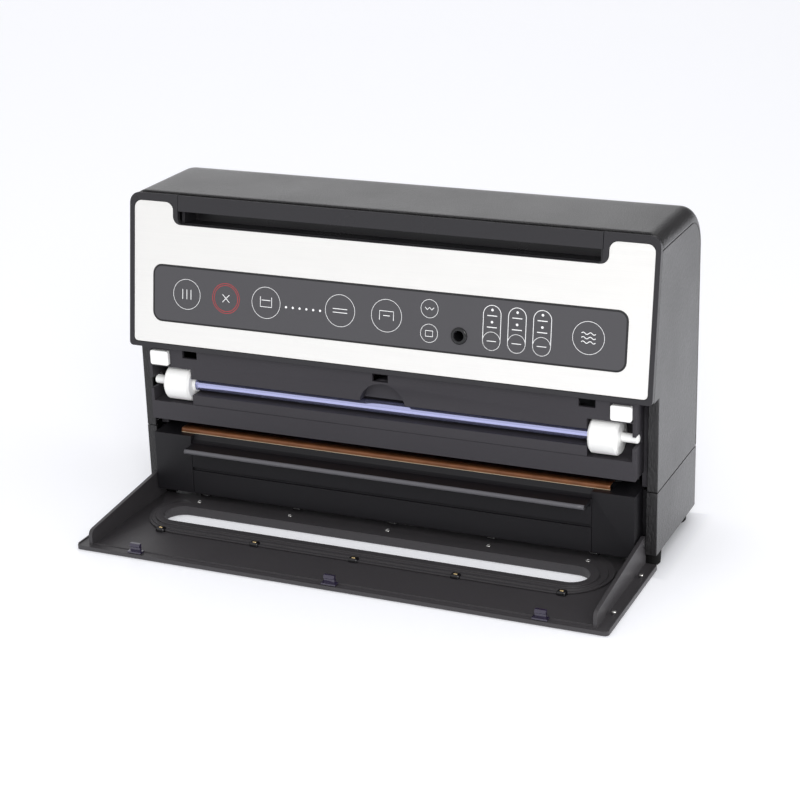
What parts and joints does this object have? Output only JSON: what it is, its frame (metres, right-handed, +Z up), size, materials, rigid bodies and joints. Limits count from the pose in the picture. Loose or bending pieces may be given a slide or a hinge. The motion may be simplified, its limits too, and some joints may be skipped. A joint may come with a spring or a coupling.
{
  "type": "vacuum sealer",
  "caption": "Upright countertop vacuum sealer with a leaning steel control panel, a drop-down front door with a bag slot, a roll holder and a heated sealing bar.",
  "frame": {"origin": "middle of the footprint with the door open, on the surface that the feet stand on", "axes": "+Z up, +X to the user's right, -Y towards the user, where the door drops down"},
  "size_m": [0.401, 0.2136, 0.2395],
  "materials": {
    "charcoal_abs": "fine leather-like moulded grain",
    "black_bezel": "semi-gloss moulded ABS",
    "brushed_steel": "horizontal brush",
    "overlay_film": "printed polycarbonate film with a fine satin coat",
    "frame_abs": "matt moulded ABS",
    "door_abs": "satin black ABS",
    "white_plastic": "satin acetal",
    "violet_rod": "polished tinted acrylic",
    "clip_plastic": "clear tinted polycarbonate",
    "copper_ptfe": "PTFE-coated glass cloth, copper brown",
    "aluminium_bar": "extruded",
    "steel_bright": "turned and plated",
    "foam_rubber": "closed-cell foam",
    "foot_rubber": "moulded",
    "silicone_red": "smooth silicone",
    "black_plastic": "moulded nylon",
    "motor_metal": "plated motor can",
    "grey_plastic": "moulded",
    "circuit_board": "solder mask",
    "coil_lacquer": "lacquered core and winding",
    "valve_blue": "moulded"
  },
  "bodies": {
    "casing": {"top_back_cover": "charcoal_abs", "side_cover_right": "charcoal_abs", "side_cover_left": "charcoal_abs", "base_shell": "charcoal_abs", "foot_front_left": "foot_rubber", "foot_front_right": "foot_rubber", "foot_rear_left": "foot_rubber", "foot_rear_right": "foot_rubber", "base_screw_front_left": "steel_bright", "base_screw_front_right": "steel_bright", "base_screw_rear_left": "steel_bright", "base_screw_rear_right": "steel_bright", "power_inlet": "black_plastic", "front_bezel": "black_bezel", "steel_panel": "brushed_steel", "control_overlay": "overlay_film", "hose_port": "black_plastic", "grip_insert": "black_bezel", "upper_frame": "frame_abs", "lower_frame": "frame_abs", "drip_tray": "frame_abs", "heat_bar": "aluminium_bar", "sealing_strip": "copper_ptfe", "lower_gasket": "foam_rubber", "jaw_gearmotor": "grey_plastic", "jaw_spring_right": "steel_bright", "jaw_spring_left": "steel_bright", "hinge_pin_right": "steel_bright", "hinge_pin_left": "steel_bright", "chassis_plate": "grey_plastic", "pump_motor": "motor_metal", "pump_head_right": "black_plastic", "pump_head_left": "black_plastic", "vacuum_hose": "foot_rubber", "solenoid_valve": "valve_blue", "control_board": "circuit_board", "power_board": "circuit_board", "transformer": "coil_lacquer"},
    "door": {"door_panel": "door_abs", "door_slot_frame": "door_abs", "door_hook_left": "clip_plastic", "door_hook_centre": "clip_plastic", "door_hook_right": "clip_plastic"},
    "roll_holder": {"holder_rod": "violet_rod", "holder_plug_right": "white_plastic", "holder_plug_left": "white_plastic"},
    "release_right": {"release_block_right": "white_plastic"},
    "release_left": {"release_block_left": "white_plastic"},
    "jaw": {"upper_jaw": "black_plastic", "upper_gasket": "foam_rubber", "jaw_silicone_strip": "silicone_red"},
    "cams": {"cam_shaft": "white_plastic"}
  },
  "joints": [
    {"name": "door_hinge", "type": "hinge", "parent": "casing", "child": "door", "pos_m": [0, 0.0003, 0.0185], "axis": [-1, 0, 0], "range_deg": [0, 90]},
    {"name": "roll_holder_spin", "type": "hinge", "parent": "casing", "child": "roll_holder", "pos_m": [0, -0.0007, 0.0966], "axis": [1, 0, 0], "continuous": true},
    {"name": "release_right_push", "type": "slide", "parent": "casing", "child": "release_right", "axis": [0, 1, 0], "range_m": [0, 0.0023], "stiffness_N_per_m": 250, "springref_m": -0.001},
    {"name": "release_left_push", "type": "slide", "parent": "casing", "child": "release_left", "axis": [0, 1, 0], "range_m": [0, 0.0023], "stiffness_N_per_m": 250, "springref_m": -0.001},
    {"name": "jaw_slide", "type": "slide", "parent": "casing", "child": "jaw", "axis": [0, 0, -1], "range_m": [0, 0.0063], "stiffness_N_per_m": 400, "springref_m": -0.012, "deforming": ["jaw_spring_right", "jaw_spring_left"]},
    {"name": "cam_turn", "type": "hinge", "parent": "casing", "child": "cams", "pos_m": [0, 0.0238, 0.085], "axis": [-1, 0, 0], "range_deg": [0, 120]}
  ],
  "couplings": [
    {"joint": "cam_turn", "follows": "jaw_slide", "rad_per_m": 332}
  ]
}
